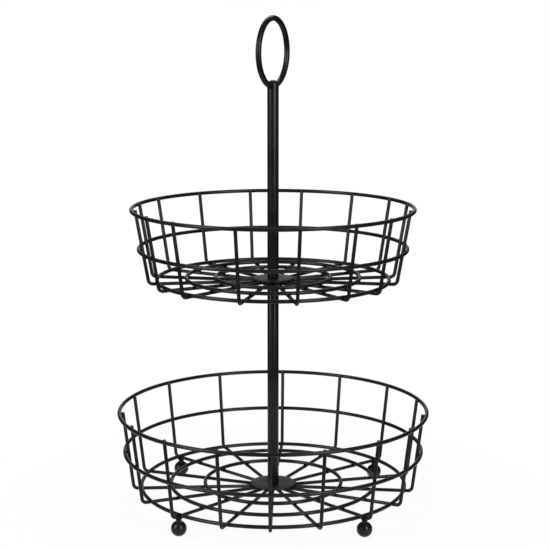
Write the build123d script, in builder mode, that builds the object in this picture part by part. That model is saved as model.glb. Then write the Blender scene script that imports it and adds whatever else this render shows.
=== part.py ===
"""Two-tier wire fruit basket: two round baskets of welded wire on one knock-down post.

The lower basket stands on four ball feet and carries the lower post. The upper basket sits on
that post's collar. The handle post screws down on it, and ends in a welded ring handle.

Millimetres, +Z up. The origin is on the post's axis, on the surface that the feet stand on.
The front is towards -Y. Rib angles are in degrees from the front, positive towards +X.
"""
import os
from math import acos, atan2, cos, hypot, radians, sin, sqrt, tan

from build123d import *

# Wire, and how the welded wires meet
ring_wire_diameter = 3.7
rib_wire_diameter = 3.4
rib_bend_radius = 4.5
rib_top_rise = 1.2
rib_end_gap = 0.1
weld_gap = 0.02
# How deep the base ring is pressed into the ribs as it is welded on
base_ring_sink = 1.85

# Lower basket: radii are to the middle of the wire. Heights are above the ribs' corner, from
# where their floor part dips towards the hub. The base ring is set in from that corner.
lower_rim_radius = 150.0
lower_corner_radius = 137.0
lower_depth = 76.0
lower_mid_ring_height = 37.0
lower_floor_dip = 2.0
lower_base_ring_inset = 7.6
lower_outer_floor_ring_radius = 100.5
lower_inner_floor_ring_radius = 67.0
lower_hub_plate_radius = 22.2

# Upper basket, measured the same way
upper_rim_radius = 135.2
upper_corner_radius = 119.6
upper_depth = 70.1
upper_mid_ring_height = 32.3
upper_floor_dip = 0.3
upper_base_ring_inset = 7.9
upper_outer_floor_ring_radius = 83.5
upper_inner_floor_ring_radius = 55.4
upper_hub_plate_radius = 20.0

# Hub plates, on top of the floor ribs
hub_plate_thickness = 1.5
hub_plate_edge_radius = 0.5
hub_hole_diameter = 6.6

# Ball feet
foot_ball_diameter = 14.9
foot_flat_diameter = 4.0
foot_neck_diameter = 5.4
foot_neck_height = 2.4

# Posts
tier_spacing = 204.5
post_diameter = 11.0
post_wall = 1.2
press_gap = 0.02
collar_height = 6.4
collar_clearance = 0.9
collar_edge_chamfer = 0.5
collar_spigot_length = 12.0
handle_post_length = 186.0
handle_post_turning_gap = 0.2
post_plug_length = 20.0
top_plug_length = 12.0

# Stud between the posts, and the screw under the lower hub
thread_diameter = 6.0
thread_gap = 0.05
stud_engagement = 12.0
base_screw_grip = 14.0
base_screw_head_width = 10.0
base_screw_head_height = 4.0
base_screw_head_chamfer = 0.6
base_washer_thickness = 1.5

# Ring handle, standing on edge across the top of the post
handle_outer_diameter = 68.7
handle_wire_diameter = 5.5
handle_turn_degrees = 65.0

# Each basket's sixteen ribs. They are set by hand before welding, so their spacing wanders a little.
lower_rib_angles = (
    -1, 18.5, 41, 61.5, 80.5, 101.5, 126, 151, 176, 203, 228, 252.5, 276, 295, 317.5, 340,
)
upper_rib_angles = (
    10.5, 34.5, 55, 80, 99, 118, 142, 167, 190.5, 215, 240.5, 260, 279, 298, 317, 345.5,
)
# One foot stands under the third rib of each quarter of the lower basket
foot_corners = ("front_right", "back_right", "back_left", "front_left")

# Distance between the middles of a ring wire and a rib wire that are welded together
wire_pitch = (ring_wire_diameter + rib_wire_diameter) / 2 + weld_gap

lower_base_ring_radius = lower_corner_radius - lower_base_ring_inset
upper_base_ring_radius = upper_corner_radius - upper_base_ring_inset


def tightest_spacing(angles):
    """The smallest angle between neighbouring ribs, in degrees."""
    following = angles[1:] + (angles[0] + 360,)
    return min(after - before for before, after in zip(angles, following))


# The floor ribs end in a circle round the post's collar, where the closest two nearly touch
closest_ribs = min(tightest_spacing(lower_rib_angles), tightest_spacing(upper_rib_angles))
rib_end_radius = (rib_wire_diameter + rib_end_gap) / 2 / sin(radians(closest_ribs / 2))
collar_radius = rib_end_radius - collar_clearance


def floor_level(radius, offset, corner_height, corner_radius, floor_dip):
    """Height of what lies that far from the post's axis and that far above the middle of the ribs."""
    slope = atan2(floor_dip, corner_radius - rib_end_radius)
    return corner_height - (corner_radius - radius) * tan(slope) + offset / cos(slope)


def hub_plate_bottom(plate_radius, corner_height, corner_radius, floor_dip):
    """Height of a hub plate's underside, whose edge rests on the rising floor ribs."""
    rib_top = floor_level(
        plate_radius, rib_wire_diameter / 2, corner_height, corner_radius, floor_dip
    )
    return rib_top + weld_gap


# Heights, from the surface up. The feet stand right below the base ring, under the dipping ribs.
foot_ball_radius = foot_ball_diameter / 2
foot_centre_height = sqrt(foot_ball_radius**2 - (foot_flat_diameter / 2) ** 2)
foot_top_height = foot_centre_height + foot_ball_radius + foot_neck_height
lower_corner_height = foot_top_height + weld_gap - floor_level(
    lower_base_ring_radius - foot_neck_diameter / 2, -rib_wire_diameter / 2, 0,
    lower_corner_radius, lower_floor_dip,
)
upper_corner_height = lower_corner_height + tier_spacing
lower_plate_bottom = hub_plate_bottom(
    lower_hub_plate_radius, lower_corner_height, lower_corner_radius, lower_floor_dip
)
upper_plate_bottom = hub_plate_bottom(
    upper_hub_plate_radius, upper_corner_height, upper_corner_radius, upper_floor_dip
)
lower_plate_top = lower_plate_bottom + hub_plate_thickness
upper_plate_top = upper_plate_bottom + hub_plate_thickness
collar_bottom = upper_plate_bottom - collar_height
handle_post_bottom = upper_plate_top + handle_post_turning_gap
handle_post_top = handle_post_bottom + handle_post_length
handle_seat_height = handle_post_top - handle_wire_diameter / 2
handle_ring_radius = (handle_outer_diameter - handle_wire_diameter) / 2
handle_centre_height = handle_seat_height + handle_ring_radius
plug_radius = post_diameter / 2 - post_wall - press_gap


def wall_lean(rim_radius, corner_radius, depth):
    """Angle of a basket's wall from upright, so that its ribs just touch the inside of the rim."""
    across = rim_radius - corner_radius
    return acos(wire_pitch / hypot(across, depth)) - atan2(depth, across)


def save(part, name):
    """Label a finished piece and write it to its own file."""
    part.label = name
    export_step(part, f"parts/{name}.step")


def make_level_ring(name, radius, height, wire_diameter):
    """A closed ring of round wire that lies level round the post."""
    with BuildPart() as ring:
        with BuildSketch(Plane.XZ):
            with Locations((radius, height)):
                Circle(wire_diameter / 2)
        revolve(axis=Axis.Z)
    save(ring.part, name)


def make_rib(name, angle, corner_height, corner_radius, depth, floor_dip, lean, ring_seat):
    """One rib: a wall stave and a floor spoke, bent from a single wire and pressed by the ring."""
    outward = (sin(radians(angle)), -cos(radians(angle)), 0)
    sideways = (-cos(radians(angle)), -sin(radians(angle)), 0)
    rise = depth + rib_top_rise
    with BuildPart() as rib:
        with BuildLine(Plane(origin=(0, 0, 0), x_dir=outward, z_dir=sideways)) as centre_line:
            FilletPolyline(
                (rib_end_radius, corner_height - floor_dip),
                (corner_radius, corner_height),
                (corner_radius + rise * tan(lean), corner_height + rise),
                radius=rib_bend_radius,
            )
        with BuildSketch(Plane(origin=centre_line.line @ 0, z_dir=centre_line.line % 0)):
            Circle(rib_wire_diameter / 2)
        sweep()
        add(ring_seat, mode=Mode.SUBTRACT)
    save(rib.part, name)


def make_hub_plate(name, radius, bottom):
    """The round plate on top of the floor ribs, with a hole for the stud or the screw."""
    with BuildPart() as plate:
        with BuildSketch(Plane.XY.offset(bottom)):
            Circle(radius)
            Circle(hub_hole_diameter / 2, mode=Mode.SUBTRACT)
        extrude(amount=hub_plate_thickness)
        outer_top_edge = plate.faces().sort_by(Axis.Z)[-1].edges().sort_by(SortBy.RADIUS)[-1]
        fillet(outer_top_edge, hub_plate_edge_radius)
    save(plate.part, name)


def make_basket(
    tier, rib_angles, corner_height, rim_radius, corner_radius, depth, mid_ring_height, floor_dip,
    base_ring_radius, outer_floor_ring_radius, inner_floor_ring_radius, hub_plate_radius,
):
    """A basket's rings, ribs and hub plate, each a piece of its own."""
    lean = wall_lean(rim_radius, corner_radius, depth)
    mid_ring_radius = corner_radius + mid_ring_height * tan(lean) + wire_pitch / cos(lean)
    floor_shape = (corner_height, corner_radius, floor_dip)
    sunk_pitch = (ring_wire_diameter + rib_wire_diameter) / 2 - base_ring_sink
    base_ring_height = floor_level(base_ring_radius, sunk_pitch, *floor_shape)
    level_rings = {
        "rim": (rim_radius, corner_height + depth),
        "mid_ring": (mid_ring_radius, corner_height + mid_ring_height),
        "base_ring": (base_ring_radius, base_ring_height),
        "outer_floor_ring": (
            outer_floor_ring_radius, floor_level(outer_floor_ring_radius, wire_pitch, *floor_shape)
        ),
        "inner_floor_ring": (
            inner_floor_ring_radius, floor_level(inner_floor_ring_radius, wire_pitch, *floor_shape)
        ),
    }
    for ring_name, (radius, height) in level_rings.items():
        make_level_ring(f"{tier}_{ring_name}", radius, height, ring_wire_diameter)
    with BuildPart() as ring_seat:
        with BuildSketch(Plane.XZ):
            with Locations((base_ring_radius, base_ring_height)):
                Circle(ring_wire_diameter / 2 + weld_gap)
        revolve(axis=Axis.Z)
    for count, angle in enumerate(rib_angles, start=1):
        make_rib(
            f"{tier}_rib_{count:02d}", angle, corner_height, corner_radius, depth, floor_dip, lean,
            ring_seat.part,
        )
    plate_bottom = hub_plate_bottom(hub_plate_radius, *floor_shape)
    make_hub_plate(f"{tier}_hub_plate", hub_plate_radius, plate_bottom)


def make_foot(name, angle):
    """A turned ball with a short neck, welded under a rib."""
    neck_radius = foot_neck_diameter / 2
    neck_start = sqrt(foot_ball_radius**2 - neck_radius**2)
    neck_top = foot_ball_radius + foot_neck_height
    flat_radius = foot_flat_diameter / 2
    x = lower_base_ring_radius * sin(radians(angle))
    y = -lower_base_ring_radius * cos(radians(angle))
    centre = (x, y, foot_centre_height)
    with BuildPart() as foot:
        with BuildSketch(Plane(origin=centre, x_dir=(1, 0, 0), z_dir=(0, -1, 0))):
            with BuildLine():
                Line((0, -foot_centre_height), (flat_radius, -foot_centre_height))
                ThreePointArc(
                    (flat_radius, -foot_centre_height),
                    (foot_ball_radius, 0),
                    (neck_radius, neck_start),
                )
                Polyline(
                    (neck_radius, neck_start),
                    (neck_radius, neck_top),
                    (0, neck_top),
                    (0, -foot_centre_height),
                )
            make_face()
        revolve(axis=Axis(centre, (0, 0, 1)))
    save(foot.part, name)


def make_round_bar(name, radius, bottom, top, bore_radius=0):
    """A plain turned piece on the post's axis, with or without a bore right through."""
    with BuildPart() as bar:
        with BuildSketch(Plane.XY.offset(bottom)):
            Circle(radius)
            if bore_radius > 0:
                Circle(bore_radius, mode=Mode.SUBTRACT)
        extrude(amount=top - bottom)
    save(bar.part, name)


os.makedirs("parts", exist_ok=True)

# The two baskets
make_basket(
    "lower", lower_rib_angles, lower_corner_height, lower_rim_radius, lower_corner_radius,
    lower_depth, lower_mid_ring_height, lower_floor_dip, lower_base_ring_radius,
    lower_outer_floor_ring_radius, lower_inner_floor_ring_radius, lower_hub_plate_radius,
)
make_basket(
    "upper", upper_rib_angles, upper_corner_height, upper_rim_radius, upper_corner_radius,
    upper_depth, upper_mid_ring_height, upper_floor_dip, upper_base_ring_radius,
    upper_outer_floor_ring_radius, upper_inner_floor_ring_radius, upper_hub_plate_radius,
)

# Four ball feet
ribs_per_foot = len(lower_rib_angles) // len(foot_corners)
for quarter, corner in enumerate(foot_corners):
    foot_angle = lower_rib_angles[quarter * ribs_per_foot + ribs_per_foot // 2]
    make_foot(f"foot_{corner}", foot_angle)

# Lower post: a tube between the two hubs, with a threaded plug in its foot
thread_radius = thread_diameter / 2
threaded_bore_radius = thread_radius + thread_gap
tube_bore_radius = post_diameter / 2 - post_wall
make_round_bar(
    "lower_post_tube", post_diameter / 2, lower_plate_top, collar_bottom, tube_bore_radius
)
make_round_bar(
    "lower_post_plug", plug_radius, lower_plate_top, lower_plate_top + post_plug_length,
    threaded_bore_radius,
)

# Collar: a turned flange that carries the upper hub plate, with a spigot in the lower tube
with BuildPart() as post_collar:
    with BuildSketch(Plane.XY.offset(collar_bottom - collar_spigot_length)):
        Circle(plug_radius)
    extrude(amount=collar_spigot_length)
    with BuildSketch(Plane.XY.offset(collar_bottom)):
        Circle(collar_radius)
    extrude(amount=collar_height)
    flange_bottom_edge = (
        post_collar.edges().filter_by(GeomType.CIRCLE).sort_by(SortBy.RADIUS)[-2:].sort_by(Axis.Z)[0]
    )
    chamfer(flange_bottom_edge, collar_edge_chamfer)
    with BuildSketch(Plane.XY.offset(collar_bottom - collar_spigot_length)):
        Circle(threaded_bore_radius)
    extrude(amount=collar_spigot_length + collar_height, mode=Mode.SUBTRACT)
save(post_collar.part, "post_collar")

# The stud fills the collar's bore and stands up into the handle post
make_round_bar(
    "joining_stud", thread_radius, collar_bottom - collar_spigot_length,
    upper_plate_top + stud_engagement,
)

# Washer and hex screw that hold the lower post to its hub plate, in the gap inside the rib ends
washer_bottom = lower_plate_bottom - base_washer_thickness
make_round_bar(
    "base_washer", collar_radius, washer_bottom, lower_plate_bottom, hub_hole_diameter / 2
)
with BuildPart() as base_screw:
    with BuildSketch(Plane.XY.offset(washer_bottom - base_screw_head_height)):
        RegularPolygon(base_screw_head_width / 2, 6, major_radius=False)
    extrude(amount=base_screw_head_height)
    head_bottom = base_screw.faces().sort_by(Axis.Z)[0]
    chamfer(head_bottom.edges(), base_screw_head_chamfer)
    with BuildSketch(Plane.XY.offset(washer_bottom)):
        Circle(thread_radius)
    extrude(amount=lower_plate_top + base_screw_grip - washer_bottom)
save(base_screw.part, "base_screw")

# Ring handle, on edge, turned about the post
handle_direction = (cos(radians(handle_turn_degrees)), sin(radians(handle_turn_degrees)), 0)
handle_normal = (sin(radians(handle_turn_degrees)), -cos(radians(handle_turn_degrees)), 0)
handle_plane = Plane(
    origin=(0, 0, handle_centre_height), x_dir=handle_direction, z_dir=handle_normal
)
with BuildPart() as ring_handle:
    with BuildSketch(Plane(origin=handle_plane.origin, x_dir=handle_direction, z_dir=(0, 0, 1))):
        with Locations((handle_ring_radius, 0)):
            Circle(handle_wire_diameter / 2)
    revolve(axis=Axis(handle_plane.origin, handle_normal))
save(ring_handle.part, "ring_handle")

# The saddle in the handle post's top: a slot that ends below in the ring's own round
seat_width = handle_wire_diameter + 2 * weld_gap
with BuildPart() as seat_cutter:
    with BuildSketch(handle_plane):
        with Locations((0, -handle_ring_radius / 2)):
            Rectangle(2 * post_diameter, handle_ring_radius)
    extrude(amount=seat_width / 2, both=True)
    with BuildSketch(Plane(origin=handle_plane.origin, x_dir=handle_direction, z_dir=(0, 0, 1))):
        with Locations((handle_ring_radius, 0)):
            Circle(seat_width / 2)
    revolve(axis=Axis(handle_plane.origin, handle_normal))

# Handle post: a tube with a threaded plug in its foot and a plug that closes its top. It stands
# slackened, just clear of the upper hub plate, so that both can turn.
with BuildPart() as handle_post_tube:
    with BuildSketch(Plane.XY.offset(handle_post_bottom)):
        Circle(post_diameter / 2)
        Circle(tube_bore_radius, mode=Mode.SUBTRACT)
    extrude(amount=handle_post_length)
    add(seat_cutter.part, mode=Mode.SUBTRACT)
save(handle_post_tube.part, "handle_post_tube")

make_round_bar(
    "handle_post_plug", plug_radius, handle_post_bottom, handle_post_bottom + post_plug_length,
    threaded_bore_radius,
)

with BuildPart() as handle_post_top_plug:
    with BuildSketch(Plane.XY.offset(handle_post_top - top_plug_length)):
        Circle(plug_radius)
    extrude(amount=top_plug_length)
    add(seat_cutter.part, mode=Mode.SUBTRACT)
save(handle_post_top_plug.part, "handle_post_top_plug")
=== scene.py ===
from math import atan, atan2, cos, hypot, pi, radians, sin, sqrt, tan
from random import Random

import bpy
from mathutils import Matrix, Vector


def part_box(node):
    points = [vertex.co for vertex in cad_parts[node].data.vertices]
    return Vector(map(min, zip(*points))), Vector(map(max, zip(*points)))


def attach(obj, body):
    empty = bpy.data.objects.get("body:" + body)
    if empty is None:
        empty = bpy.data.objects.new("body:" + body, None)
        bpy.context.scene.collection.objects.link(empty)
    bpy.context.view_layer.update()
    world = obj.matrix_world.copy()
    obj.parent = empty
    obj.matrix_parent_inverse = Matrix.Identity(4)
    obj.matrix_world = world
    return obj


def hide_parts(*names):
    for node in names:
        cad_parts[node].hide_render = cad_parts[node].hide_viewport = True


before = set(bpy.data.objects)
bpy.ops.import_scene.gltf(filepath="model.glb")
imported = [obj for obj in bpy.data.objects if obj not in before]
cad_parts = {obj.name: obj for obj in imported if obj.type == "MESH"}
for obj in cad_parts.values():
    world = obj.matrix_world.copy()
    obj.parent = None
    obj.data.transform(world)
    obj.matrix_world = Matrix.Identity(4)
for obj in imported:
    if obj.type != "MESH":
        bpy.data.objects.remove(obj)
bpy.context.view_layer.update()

# Camera. A long lens stands 1.4 m in front of the post, a little higher than the ring handle, and
# looks slightly down into both tiers.
image_pixels = 550
focal_length_pixels = 1499.2
sensor_width = 36
camera_place = (0.0019, -1.4216, 0.4914)
camera_dip = radians(10.47)
bpy.ops.object.camera_add(location=camera_place, rotation=(pi / 2 - camera_dip, 0, 0))
camera = bpy.context.object
camera.name = "photo_camera"
camera.data.sensor_width = sensor_width
camera.data.lens = sensor_width * focal_length_pixels / image_pixels
bpy.context.scene.camera = camera
bpy.context.scene.view_settings.view_transform = "Standard"


# Studio. White paper lies under the basket and stands some way behind it. Both show white, and
# the paper on the floor keeps the soft shadow of the wires near the basket.
class Field:
    """What one socket gives at each point of a surface. Python's operators on it add Math nodes."""

    def __init__(self, tree, socket=None):
        self.tree = tree
        self.socket = socket

    def node(self, kind, settings=None, inputs=None, output=0):
        """Adds a node, with its settings first and then the values or links of its sockets."""
        made = self.tree.nodes.new(kind)
        for name, value in (settings or {}).items():
            setattr(made, name, value)
        for name, value in (inputs or {}).items():
            if isinstance(value, Field):
                self.tree.links.new(value.socket, made.inputs[name])
            else:
                made.inputs[name].default_value = value
        return Field(self.tree, made.outputs[output] if made.outputs else None)

    def maths(self, operation, first, second):
        """Adds one Math node on two values or links."""
        return self.node("ShaderNodeMath", {"operation": operation}, {0: first, 1: second})

    def __add__(self, other):
        return self.maths("ADD", self, other)

    def __radd__(self, other):
        return self.maths("ADD", other, self)

    def __sub__(self, other):
        return self.maths("SUBTRACT", self, other)

    def __rsub__(self, other):
        return self.maths("SUBTRACT", other, self)

    def __mul__(self, other):
        return self.maths("MULTIPLY", self, other)

    def __rmul__(self, other):
        return self.maths("MULTIPLY", other, self)


def new_material(name):
    """A material with nothing in its node tree yet."""
    material = bpy.data.materials.new(name)
    material.use_nodes = True
    material.node_tree.nodes.clear()
    return material, Field(material.node_tree)


def smooth_step(field, low, high):
    """0 where the field is below low, 1 above high, and an even rise between them."""
    limits = {"Value": field, "From Min": low, "From Max": high}
    return field.node("ShaderNodeMapRange", {"interpolation_type": "SMOOTHSTEP"}, limits)


def mixed_colour(paint, share, first, second):
    """The first colour where the share is 0 and the second where it is 1."""
    factor_and_colours = {0: share, 6: first, 7: second}
    return paint.node("ShaderNodeMix", {"data_type": "RGBA"}, factor_and_colours, output=2)


def seen_directly(paint):
    """1 for what the camera sees, also in a reflection or through glass, and 0 for other light."""
    ray = "ShaderNodeLightPath"
    return paint.maths(
        "MINIMUM", paint.node(ray, output="Is Camera Ray") + paint.node(ray, output="Is Glossy Ray")
        + paint.node(ray, output="Is Transmission Ray"), 1,
    )


paper_white = (1, 1, 1, 1)
paper_colour = (0.9, 0.9, 0.9, 1)
shadow_core = 0.16
shadow_reach = 0.32


def paper(name, shadow_share):
    """White paper that shows white by itself, and takes a share of the shadow near the basket."""
    material, paint = new_material(name)
    place = paint.node("ShaderNodeTexCoord", output="Object")
    distance = place.node("ShaderNodeVectorMath", {"operation": "LENGTH"}, {0: place}, "Value")
    own_light = 1 - shadow_share * (1 - smooth_step(distance, shadow_core, shadow_reach))
    sheet = paint.node("ShaderNodeBsdfDiffuse", inputs={"Color": paper_colour})
    glow = paint.node("ShaderNodeEmission", inputs={"Color": paper_white, "Strength": 1})
    factor = seen_directly(paint) * own_light
    mixed = paint.node("ShaderNodeMixShader", inputs={0: factor, 1: sheet, 2: glow})
    paint.node("ShaderNodeOutputMaterial", inputs={"Surface": mixed})
    return material


floor_size = 0.66
bpy.ops.mesh.primitive_plane_add(size=floor_size)
floor = bpy.context.object
floor.name = "studio_floor"
floor.data.materials.append(paper("floor_paper", shadow_share=0.08))

backdrop_distance = 4.0
backdrop_width = 2.4
bpy.ops.mesh.primitive_plane_add(
    size=backdrop_width, location=(0, backdrop_distance, 0), rotation=(pi / 2, 0, 0)
)
backdrop = bpy.context.object
backdrop.name = "studio_backdrop"
backdrop.data.materials.append(paper("backdrop_paper", shadow_share=0))

room_grey = (0.04, 0.04, 0.04, 1)
world = bpy.data.worlds.new("studio_room")
bpy.context.scene.world = world
world.use_nodes = True
world.node_tree.nodes.clear()
room = Field(world.node_tree)
room_seen = room.node("ShaderNodeLightPath", output="Is Camera Ray")
room_colour = mixed_colour(room, room_seen, room_grey, paper_white)
room_light = room.node("ShaderNodeBackground", inputs={"Color": room_colour, "Strength": 1})
room.node("ShaderNodeOutputWorld", inputs={"Surface": room_light})


# Lamps. Two tall soft boxes stand left and right of the camera, and draw the two soft lines down
# the posts. A wide one hangs behind and above, and lights the hub plates and the wires' top edges.
lamp_aim = Vector((0, 0, 0.25))


def soft_box(name, azimuth, height, distance, width, tall, power):
    """A soft box at that azimuth from the front, positive to the right, turned to the basket."""
    place = Vector((distance * sin(azimuth), -distance * cos(azimuth), height))
    bpy.ops.object.light_add(type="AREA", location=place)
    lamp = bpy.context.object
    lamp.name = name
    lamp.rotation_euler = (lamp_aim - place).to_track_quat("-Z", "Y").to_euler()
    lamp.data.shape = "RECTANGLE"
    lamp.data.size = width
    lamp.data.size_y = tall
    lamp.data.energy = power
    lamp.visible_camera = False


front_box = {"height": 0.88, "distance": 1.6, "width": 0.35, "tall": 1.2, "power": 27}
soft_box("left_soft_box", radians(-57), **front_box)
soft_box("right_soft_box", radians(36), **front_box)
soft_box("back_soft_box", radians(178), height=1.6, distance=1.3, width=1.6, tall=0.8, power=12)


# Black powder coat. It is baked on all but the stud, the screw and its washer: satin, with a fine
# orange peel, a sheen that wanders a little, and a few rubbed places where hands and fruit touch it.
coat_black = (0.0060, 0.0058, 0.0057, 1)
coat_grey = (0.011, 0.0107, 0.0104, 1)
rubbed_grey = (0.030, 0.029, 0.028, 1)
coat_specular = 0.19
noise_roughness = 0.55
noise_middle = 0.5
cloud_size = 0.02
cloud_low, cloud_high = 0.3, 0.7
cloud_dulling = 0.12
grain_share = 0.25
grain_dulling = 0.10
grain_relief = 0.35
rubbed_size = 0.006
rubbed_low, rubbed_high = 0.72, 0.80
rubbed_strength = 0.5
rubbed_polish = 0.05


def powder_coat(name, dullness, peel_size, peel_depth=0.00003, rubbed_share=0.02):
    """Satin black powder coat, for one kind of piece."""
    material, paint = new_material(name)
    place = paint.node("ShaderNodeTexCoord", output="Object")

    def noise(size, detail):
        """Noise from 0 to 1, in lumps of about that size."""
        texture = {"Vector": place, "Scale": 1 / size, "Detail": detail, "Roughness": noise_roughness}
        return paint.node("ShaderNodeTexNoise", inputs=texture)

    peel = noise(peel_size, detail=2)
    grain = noise(grain_share * peel_size, detail=1)
    cloud = noise(cloud_size, detail=3)
    rubbed = smooth_step(
        noise(rubbed_size, detail=4), rubbed_low - rubbed_share, rubbed_high - rubbed_share
    )
    shade = mixed_colour(paint, smooth_step(cloud, cloud_low, cloud_high), coat_black, coat_grey)
    shade = mixed_colour(paint, rubbed * rubbed_strength, shade, rubbed_grey)
    cloudy = cloud_dulling * (cloud - noise_middle)
    grainy = grain_dulling * (grain - noise_middle)
    roughness = dullness + cloudy + grainy - rubbed_polish * rubbed
    relief = peel + grain_relief * grain
    bump = paint.node(
        "ShaderNodeBump", inputs={"Height": relief, "Distance": peel_depth, "Strength": 1}
    )
    coat = paint.node("ShaderNodeBsdfPrincipled", inputs={
        "Base Color": shade, "Roughness": roughness, "Specular IOR Level": coat_specular,
        "Normal": bump,
    })
    paint.node("ShaderNodeOutputMaterial", inputs={"Surface": coat})
    return material


wire_coat = powder_coat("wire_coat", dullness=0.33, peel_size=0.0011)
ball_coat = powder_coat("ball_coat", dullness=0.28, peel_size=0.0012, rubbed_share=0.01)


# Feet. Four turned steel balls carry the lower basket. Each has a small flat to stand on and a
# short neck, whose top is brazed up under a rib, right below the base ring.
merge_distance = 0.000002
smooth_up_to = radians(35)
rounded_from = radians(40)


def select_only(piece):
    """Selects this piece alone, so that the next operator acts on nothing else."""
    bpy.ops.object.select_all(action="DESELECT")
    piece.select_set(True)
    bpy.context.view_layer.objects.active = piece


def turned(outline, sides):
    """A piece turned on a lathe about the post's axis, from (radius, height) pairs."""
    radius, height = outline[0]
    bpy.ops.object.select_all(action="DESELECT")
    bpy.ops.mesh.primitive_circle_add(
        vertices=sides, radius=radius, fill_type="NOTHING", location=(0, 0, height)
    )
    piece = bpy.context.object
    bpy.ops.object.mode_set(mode="EDIT")
    for next_radius, next_height in outline[1:]:
        rise = {"value": (0, 0, next_height - height)}
        bpy.ops.mesh.extrude_region_move(TRANSFORM_OT_translate=rise)
        widening = next_radius / radius
        bpy.ops.transform.resize(
            value=(widening, widening, 1), center_override=(0, 0, next_height)
        )
        radius, height = next_radius, next_height
    bpy.ops.mesh.select_all(action="SELECT")
    bpy.ops.mesh.remove_doubles(threshold=merge_distance)
    bpy.ops.mesh.select_all(action="DESELECT")
    bpy.ops.mesh.select_non_manifold(extend=False, use_boundary=True)
    bpy.ops.mesh.fill_holes(sides=0)
    bpy.ops.mesh.select_all(action="SELECT")
    bpy.ops.mesh.normals_make_consistent(inside=False)
    bpy.ops.object.mode_set(mode="OBJECT")
    return piece


def round_edges(piece, width, steps=2):
    """Rounds every sharp edge of a piece by the same small width."""
    select_only(piece)
    bevel = piece.modifiers.new("rounded_edges", "BEVEL")
    bevel.width = width
    bevel.segments = steps
    bevel.limit_method = "ANGLE"
    bevel.angle_limit = rounded_from
    bpy.ops.object.modifier_apply(modifier=bevel.name)


def fit(piece, name, body, coat, *nodes, slot="black_coat"):
    """Settles a finished piece at the origin with its coat, on its body, in its nodes' place."""
    select_only(piece)
    bpy.ops.object.transform_apply(location=True, rotation=True, scale=True)
    bpy.ops.object.shade_smooth_by_angle(angle=smooth_up_to)
    piece.name = name
    piece.data.name = name
    piece.data.materials.clear()
    piece.data.materials.append(coat)
    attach(piece, body)
    if nodes:
        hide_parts(*nodes)


def copy_of(piece):
    """A copy of a piece, with a mesh of its own."""
    select_only(piece)
    bpy.ops.object.duplicate(linked=False)
    return bpy.context.object


foot_flat_radius = 0.002
foot_neck_radius = 0.0027
neck_fillet_angle = 0.05
braze_radius = 0.0037
braze_height = 0.0012
ball_steps = 22
foot_sides = 40
foot_low, foot_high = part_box("foot_front_left")
ball_radius = (foot_high.x - foot_low.x) / 2
ball_height = sqrt(ball_radius**2 - foot_flat_radius**2)
ball_start = -pi / 2 + atan2(foot_flat_radius, ball_height)
neck_angle = atan2(foot_neck_radius, sqrt(ball_radius**2 - foot_neck_radius**2))
ball_end = pi / 2 - neck_angle - neck_fillet_angle
foot_outline = [
    (ball_radius * cos(angle), ball_height + ball_radius * sin(angle))
    for angle in (
        ball_start + (ball_end - ball_start) * step / ball_steps for step in range(ball_steps + 1)
    )
]

# The neck and the braze from the ball upwards, each as shares of its radius with their heights.
neck_foot = foot_outline[-1][1]
neck_top = foot_high.z
neck_outline = ((1.04, neck_foot + 0.0003), (1, neck_foot + 0.0007), (1.03, neck_top - 0.0011))
braze_outline = (
    (0.85, neck_top - 0.0006), (0.95, neck_top - 0.0002), (1, neck_top + 0.0002),
    (0.95, neck_top + 0.5 * braze_height), (0.75, neck_top + 0.85 * braze_height),
    (0.4, neck_top + braze_height),
)
foot_outline += [(share * foot_neck_radius, height) for share, height in neck_outline]
foot_outline += [(share * braze_radius, height) for share, height in braze_outline]

first_foot = turned(foot_outline, foot_sides)
for corner in ("front_left", "front_right", "back_right", "back_left"):
    low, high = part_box("foot_" + corner)
    foot_middle = (low + high) / 2
    foot = copy_of(first_foot)
    foot.location = (foot_middle.x, foot_middle.y, 0)
    fit(foot, f"foot_{corner}_ball", "stand", ball_coat, "foot_" + corner)
bpy.data.objects.remove(first_foot)


# Ribs of the lower basket. Each is one 3.4 mm wire: a spoke that starts beside the post and rises a
# little outwards, a tight bend, and a leaning stave whose cut end just clears the rim. The coat
# rounds that end.
rib_count = 16
rib_wire_radius = 0.0017
rib_wire_sides = 14
rib_bend_radius = 0.0045
rib_bend_steps = 12
cut_end_round = 0.0004
weld_gap = 0.00002


def ring_size(node):
    """A ring's radius to the middle of its wire, that wire's radius, and the ring's height."""
    low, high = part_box(node)
    wire_radius = (high.z - low.z) / 2
    return (high.x - low.x) / 2 - wire_radius, wire_radius, (low.z + high.z) / 2


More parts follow.
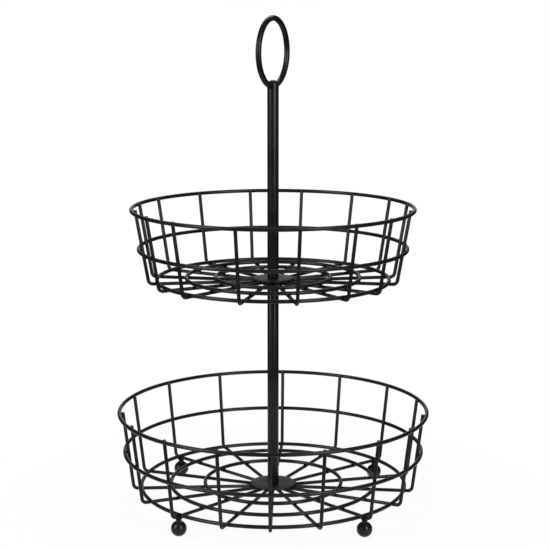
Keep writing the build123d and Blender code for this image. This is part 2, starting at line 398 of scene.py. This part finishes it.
class Tier:
    """The lines of one basket's ribs, read from the rings that they are welded to."""

    def __init__(self, tier):
        rim_radius, ring_wire_radius, rim_height = ring_size(f"{tier}_rim")
        mid_radius, _, mid_height = ring_size(f"{tier}_mid_ring")
        outer_radius, _, outer_height = ring_size(f"{tier}_outer_floor_ring")
        inner_radius, _, inner_height = ring_size(f"{tier}_inner_floor_ring")
        self.lean = atan((rim_radius - mid_radius) / (rim_height - mid_height))
        self.slope = atan((outer_height - inner_height) / (outer_radius - inner_radius))
        pitch = ring_wire_radius + rib_wire_radius + weld_gap
        spoke_foot = outer_height - outer_radius * tan(self.slope) - pitch / cos(self.slope)
        stave_foot = mid_radius - mid_height * tan(self.lean) - pitch / cos(self.lean)
        crossing = 1 - tan(self.slope) * tan(self.lean)
        corner_height = (spoke_foot + stave_foot * tan(self.slope)) / crossing
        corner_radius = stave_foot + corner_height * tan(self.lean)
        self.corner = Vector((corner_radius, 0, corner_height))
        self.up_spoke = Vector((cos(self.slope), 0, sin(self.slope)))
        self.up_stave = Vector((sin(self.lean), 0, cos(self.lean)))
        points = [point.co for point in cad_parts[f"{tier}_rib_01"].data.vertices]
        nearest = min(hypot(point.x, point.y) for point in points)
        start_radius = nearest + rib_wire_radius * sin(self.slope)
        self.spoke_length = (corner_radius - start_radius) / cos(self.slope)
        top = max(point.z for point in points) - rib_wire_radius * sin(self.lean)
        self.stave_length = (top - corner_height) / cos(self.lean)


def bearing_of(node):
    """The direction in which a rib points from the post, as an angle from +X."""
    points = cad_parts[node].data.vertices
    middle = sum((point.co for point in points), Vector()) / len(points)
    return atan2(middle.y, middle.x)


def bent_rib(size):
    """One rib that points to +X, bent from straight wire."""
    turn = pi / 2 - size.lean - size.slope
    setback = rib_bend_radius * tan(turn / 2)
    bend_start = size.corner - setback * size.up_spoke
    across_spoke = Vector((-sin(size.slope), 0, cos(size.slope)))
    bpy.ops.object.select_all(action="DESELECT")
    bpy.ops.mesh.primitive_circle_add(
        vertices=rib_wire_sides, radius=rib_wire_radius, fill_type="NGON",
        location=size.corner - size.spoke_length * size.up_spoke,
        rotation=(0, pi / 2 - size.slope, 0),
    )
    rib = bpy.context.object
    bpy.ops.object.transform_apply(location=True, rotation=True)
    bpy.ops.object.mode_set(mode="EDIT")
    spoke = {"value": (size.spoke_length - setback) * size.up_spoke, "orient_type": "GLOBAL"}
    bpy.ops.mesh.extrude_region_move(TRANSFORM_OT_translate=spoke)
    bpy.ops.mesh.spin(
        steps=rib_bend_steps, angle=turn, axis=(0, 1, 0),
        center=bend_start + rib_bend_radius * across_spoke,
    )
    stave = {"value": (size.stave_length - setback) * size.up_stave, "orient_type": "GLOBAL"}
    bpy.ops.mesh.extrude_region_move(TRANSFORM_OT_translate=stave)
    bpy.ops.mesh.select_all(action="SELECT")
    bpy.ops.mesh.remove_doubles(threshold=merge_distance)
    bpy.ops.mesh.normals_make_consistent(inside=False)
    bpy.ops.object.mode_set(mode="OBJECT")
    round_edges(rib, cut_end_round)
    return rib


def set_ribs(tier, body):
    """All sixteen ribs of a basket, each turned to where its CAD node points."""
    first_rib = bent_rib(Tier(tier))
    for count in range(1, rib_count + 1):
        node = f"{tier}_rib_{count:02d}"
        rib = copy_of(first_rib)
        rib.rotation_euler = (0, 0, bearing_of(node))
        fit(rib, node + "_wire", body, wire_coat, node)
    bpy.data.objects.remove(first_rib)


set_ribs("lower", "stand")


# Rings of the lower basket: rim, middle ring and three floor rings, each of 3.7 mm wire rolled
# round and butt welded. Rim and middle ring lie outside the staves, floor rings on the spokes.
ring_names = ("rim", "mid_ring", "base_ring", "outer_floor_ring", "inner_floor_ring")
ring_wire_sides = 16
ring_step = 0.003


def set_rings(tier, body):
    """The five rings of a basket, divided in fours to be as wide as their CAD nodes."""
    for ring_name in ring_names:
        radius, wire_radius, height = ring_size(f"{tier}_{ring_name}")
        bpy.ops.object.select_all(action="DESELECT")
        bpy.ops.mesh.primitive_torus_add(
            location=(0, 0, height), major_radius=radius, minor_radius=wire_radius,
            major_segments=4 * round(2 * pi * radius / ring_step / 4),
            minor_segments=ring_wire_sides,
        )
        ring = bpy.context.object
        fit(ring, f"{tier}_{ring_name}_wire", body, wire_coat, f"{tier}_{ring_name}")


set_rings("lower", "stand")


# Welds of the lower basket. Resistance welding leaves a small rounded nugget where a ring crosses
# a rib and where the hub plate meets a spoke, and each ring has one butt weld, slightly swollen.
nugget_reach = 0.0014
nugget_depth = 0.0005
nugget_sizes = (0.9, 1.12)
nugget_widths = (0.9, 1.05)
base_ring_sink = 0.00185
butt_weld_swell = 1.07
weld_coat = powder_coat(
    "weld_coat", dullness=0.46, peel_size=0.0008, peel_depth=0.00007, rubbed_share=0.03
)
hand = Random(5)


def nugget(place, thin_axis, reach, depth):
    """One weld nugget, flattened along its thin axis, never quite like the last."""
    size = hand.uniform(*nugget_sizes)
    bpy.ops.object.select_all(action="DESELECT")
    bpy.ops.mesh.primitive_ico_sphere_add(subdivisions=2, radius=1, location=place)
    blob = bpy.context.object
    blob.scale = (reach * size, reach * size * hand.uniform(*nugget_widths), depth * size)
    blob.rotation_euler = Vector(thin_axis).to_track_quat("Z", "X").to_euler()
    return blob


def joined(parts):
    """Several small meshes as one piece."""
    bpy.ops.object.select_all(action="DESELECT")
    for part in parts:
        part.select_set(True)
    bpy.context.view_layer.objects.active = parts[0]
    bpy.ops.object.transform_apply(location=True, rotation=True, scale=True)
    bpy.ops.object.join()
    return parts[0]


def set_welds(tier, body):
    """Every weld of a basket, as one piece."""
    size = Tier(tier)
    upward = Vector((0, 0, 1))
    plate_low, plate_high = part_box(f"{tier}_hub_plate")
    plate_radius = (plate_high.x - plate_low.x) / 2
    blobs = []
    for count in range(1, rib_count + 1):
        bearing = bearing_of(f"{tier}_rib_{count:02d}")
        outward = Vector((cos(bearing), sin(bearing), 0))
        for ring_name in ring_names:
            radius, wire_radius, height = ring_size(f"{tier}_{ring_name}")
            off_rib = outward * cos(size.lean) - upward * sin(size.lean)
            if ring_name.endswith(("base_ring", "floor_ring")):
                off_rib = upward * cos(size.slope) - outward * sin(size.slope)
            sink = base_ring_sink if ring_name == "base_ring" else 0
            place = outward * radius + upward * height - off_rib * (wire_radius - sink)
            blobs.append(nugget(place, off_rib, nugget_reach, nugget_depth))
        plate_edge = outward * plate_radius + upward * plate_low.z
        blobs.append(nugget(plate_edge, upward, nugget_reach, nugget_depth))
    for ring_name in ring_names:
        radius, wire_radius, height = ring_size(f"{tier}_{ring_name}")
        bearing = hand.uniform(0, 2 * pi)
        along = Vector((-sin(bearing), cos(bearing), 0))
        place = Vector((radius * cos(bearing), radius * sin(bearing), height))
        blobs.append(nugget(place, along, butt_weld_swell * wire_radius, wire_radius))
    fit(joined(blobs), f"{tier}_welds", body, weld_coat)


set_welds("lower", "stand")


# Lower hub plate. A pressed steel disc lies on top of the spokes, with rounded edges and a hole for
# the screw that holds the post.
hub_hole_radius = 0.0033
plate_sides = 96
plate_edge_round = 0.0004
plate_coat = powder_coat("plate_coat", dullness=0.4, peel_size=0.0011)


def tube_outline(bore, radius, low, high):
    """The outline of a tube or a disc with a hole, once round from its inner lower edge."""
    return [(bore, low), (radius, low), (radius, high), (bore, high), (bore, low)]


def set_hub_plate(tier, body):
    """A basket's hub plate, turned with its hole and then rounded at its edges."""
    low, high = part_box(f"{tier}_hub_plate")
    radius = (high.x - low.x) / 2
    plate = turned(tube_outline(hub_hole_radius, radius, low.z, high.z), plate_sides)
    round_edges(plate, plate_edge_round, steps=3)
    fit(plate, f"{tier}_hub_disc", body, plate_coat, f"{tier}_hub_plate")


set_hub_plate("lower", "stand")


# Lower post. An 11 mm steel tube with a 1.2 mm wall stands on the lower hub plate, with both its
# ends deburred. A threaded plug fills its foot.
tube_wall = 0.0012
tube_end_round = 0.00025
post_sides = 72
post_coat = powder_coat(
    "post_coat", dullness=0.34, peel_size=0.0013, peel_depth=0.000022, rubbed_share=0.01
)


def turned_radius(node):
    """The radius of a node that was turned about the post's axis."""
    low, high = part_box(node)
    return (high.y - low.y) / 2


lower_low, lower_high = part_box("lower_post_tube")
outer = turned_radius("lower_post_tube")
bore = outer - tube_wall
lower_post = turned(tube_outline(bore, outer, lower_low.z, lower_high.z), post_sides)
round_edges(lower_post, tube_end_round)
fit(lower_post, "lower_post", "stand", post_coat, "lower_post_tube")


# Collar. A turned flange closes the top of the lower post and carries the upper hub plate. Its
# spigot goes down into the tube, and the joining stud runs through it.
stud_bore = 0.00305
collar_edge_round = 0.0004
collar_low, collar_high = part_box("post_collar")
collar_radius = turned_radius("post_collar")
spigot_radius = turned_radius("lower_post_plug")
collar = turned(
    [
        (stud_bore, collar_low.z), (spigot_radius, collar_low.z), (spigot_radius, lower_high.z),
        (collar_radius, lower_high.z), (collar_radius, collar_high.z),
        (stud_bore, collar_high.z), (stud_bore, collar_low.z),
    ],
    post_sides,
)
round_edges(collar, collar_edge_round, steps=3)
fit(collar, "collar_flange", "stand", post_coat, "post_collar")


# Washer and hex screw under the lower hub, which clamp the post on its plate. They are zinc-plated
# steel, bright and faintly clouded, with fine turning marks round the axis.
zinc_light = (0.62, 0.63, 0.65, 1)
zinc_dull = (0.44, 0.45, 0.47, 1)
zinc_cloud_scale = 600
zinc_cloud_low, zinc_cloud_high = 0.35, 0.65
zinc_roughness = 0.24
zinc_dulling = 0.18
turning_mark_scale = 125
turning_mark_waver = 0.4
turning_mark_depth = 0.00002
zinc, paint = new_material("zinc_plate")
place = paint.node("ShaderNodeTexCoord", output="Object")
cloud = paint.node(
    "ShaderNodeTexNoise", inputs={"Vector": place, "Scale": zinc_cloud_scale, "Detail": 4}
)
marks = paint.node(
    "ShaderNodeTexWave", {"wave_type": "RINGS", "rings_direction": "Z"},
    {"Vector": place, "Scale": turning_mark_scale, "Distortion": turning_mark_waver, "Detail": 2},
    "Fac",
)
zinc_shade = mixed_colour(
    paint, smooth_step(cloud, zinc_cloud_low, zinc_cloud_high), zinc_light, zinc_dull
)
bump = paint.node(
    "ShaderNodeBump", inputs={"Height": marks, "Distance": turning_mark_depth, "Strength": 1}
)
plating = paint.node("ShaderNodeBsdfPrincipled", inputs={
    "Base Color": zinc_shade, "Metallic": 1, "Roughness": zinc_roughness + zinc_dulling * cloud,
    "Normal": bump,
})
paint.node("ShaderNodeOutputMaterial", inputs={"Surface": plating})

washer_sides = 64
washer_edge_round = 0.0002
washer_low, washer_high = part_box("base_washer")
washer = turned(
    tube_outline(hub_hole_radius, turned_radius("base_washer"), washer_low.z, washer_high.z),
    washer_sides,
)
round_edges(washer, washer_edge_round)
fit(washer, "base_washer_zinc", "stand", zinc, "base_washer", slot="zinc_steel")


def cut_with(cutter, piece, operation):
    """Cuts a piece with another, which is then gone, and merges corners that fall together."""
    select_only(piece)
    cut = piece.modifiers.new("cut", "BOOLEAN")
    cut.operation = operation
    cut.object = cutter
    bpy.ops.object.modifier_apply(modifier=cut.name)
    bpy.data.objects.remove(cutter)
    bpy.ops.object.mode_set(mode="EDIT")
    bpy.ops.mesh.select_all(action="SELECT")
    bpy.ops.mesh.remove_doubles(threshold=merge_distance)
    bpy.ops.object.mode_set(mode="OBJECT")


screw_low, screw_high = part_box("base_screw")
head_width = screw_high.y - screw_low.y
head_height = washer_low.z - screw_low.z
head_edge_round = 0.00015
crown_sides = 64
crown_top_radius = 0.42 * head_width
crown_radius = 0.585 * head_width
crown_height = 0.2 * head_height
crown_flare = (crown_radius - crown_top_radius) / crown_height
crown_overlap = 0.0002
bpy.ops.object.select_all(action="DESELECT")
bpy.ops.mesh.primitive_cylinder_add(
    vertices=6, radius=head_width / 2 / cos(pi / 6), depth=head_height,
    location=(0, 0, screw_low.z + head_height / 2),
)
head = bpy.context.object
crown = turned(
    [
        (crown_top_radius - crown_overlap * crown_flare, screw_low.z - crown_overlap),
        (crown_radius, screw_low.z + crown_height), (crown_radius, washer_low.z + crown_overlap),
    ],
    crown_sides,
)
cut_with(crown, head, "INTERSECT")
round_edges(head, head_edge_round)

thread_radius = 0.003
thread_chamfer = 0.0008
thread_sides = 32
shank_sink = 0.0002
shank = turned(
    [
        (thread_radius, washer_low.z - shank_sink), (thread_radius, screw_high.z - thread_chamfer),
        (thread_radius - thread_chamfer, screw_high.z),
    ],
    thread_sides,
)
fit(joined([head, shank]), "base_screw_zinc", "stand", zinc, "base_screw", slot="zinc_steel")


# Stud and plugs inside the posts. Nothing shows of them once the basket stands together, so they
# keep their CAD shapes: a zinc-plated threaded stud, and a coated plug in the foot of each tube.
for node, coat in (
    ("joining_stud", zinc), ("lower_post_plug", post_coat), ("handle_post_plug", post_coat),
):
    node_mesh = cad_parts[node].data
    node_mesh.materials.clear()
    node_mesh.materials.append(coat)


# Upper basket. It is made like the lower one, a size smaller, and rests by its hub plate on the
# collar, so it can be lifted off once the handle post is unscrewed.
set_ribs("upper", "upper_basket")
set_rings("upper", "upper_basket")
set_welds("upper", "upper_basket")
set_hub_plate("upper", "upper_basket")


# Handle post. The same tube again, closed at the top, where a saddle is cut across it for the ring.
# It screws down on the stud and clamps the upper basket.
handle_top_round = 0.0004
handle_wire_radius = 0.00275
handle_turn = radians(65)
handle_sides = 144
handle_wire_sides = 28
handle_low, handle_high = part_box("handle_post_tube")
cap_low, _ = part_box("handle_post_top_plug")
ring_low, ring_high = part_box("ring_handle")
handle_radius = (ring_high.z - ring_low.z) / 2 - handle_wire_radius
handle_height = (ring_low.z + ring_high.z) / 2
handle_post = turned(
    [(bore, cap_low.z), (bore, handle_low.z), (outer, handle_low.z), (outer, handle_high.z)],
    post_sides,
)
round_edges(handle_post, handle_top_round, steps=3)


def handle_torus(wire_radius):
    """A ring on edge at the top of the post, turned about the post as the handle is."""
    bpy.ops.object.select_all(action="DESELECT")
    bpy.ops.mesh.primitive_torus_add(
        location=(0, 0, handle_height), rotation=(pi / 2, 0, handle_turn),
        major_radius=handle_radius, minor_radius=wire_radius,
        major_segments=handle_sides, minor_segments=handle_wire_sides,
    )
    return bpy.context.object


cut_with(handle_torus(handle_wire_radius + weld_gap), handle_post, "DIFFERENCE")
fit(
    handle_post, "handle_post_tube_and_cap", "handle_post", post_coat,
    "handle_post_tube", "handle_post_top_plug",
)


# Weld on top of the post. Weld metal is heaped round the foot of the ring, then ground to a low
# dome, a little narrower than the tube, with the ring running through it.
mound_radius = 0.0050
mound_height = 0.0029
mound_sink = 0.001
mound_waver = 0.0002
mound_lump_size = 0.0012
mound_steps = 6
mound_sides = 36
mound_outline = [(mound_radius, handle_high.z - mound_sink)] + [
    (mound_radius * cos(angle), handle_high.z + mound_height * sin(angle))
    for angle in (pi / 2 * step / mound_steps for step in range(mound_steps))
]
mound = turned(mound_outline, mound_sides)
bpy.ops.object.mode_set(mode="EDIT")
bpy.ops.mesh.select_all(action="SELECT")
bpy.ops.mesh.subdivide(number_cuts=1)
bpy.ops.object.mode_set(mode="OBJECT")
mound_lumps = bpy.data.textures.new("weld_lumps", "CLOUDS")
mound_lumps.noise_scale = mound_lump_size
uneven = mound.modifiers.new("uneven", "DISPLACE")
uneven.texture = mound_lumps
uneven.texture_coords = "LOCAL"
uneven.strength = mound_waver
bpy.ops.object.modifier_apply(modifier=uneven.name)
fit(mound, "ring_handle_weld", "handle_post", weld_coat)


# Ring handle. A closed ring of 5.5 mm wire stands on edge across the post, welded in its saddle,
# and smoothed by the hands that carry the basket.
handle_coat = powder_coat("handle_coat", dullness=0.28, peel_size=0.0013, peel_depth=0.000022)
fit(handle_torus(handle_wire_radius), "ring_handle_wire", "handle_post", handle_coat, "ring_handle")
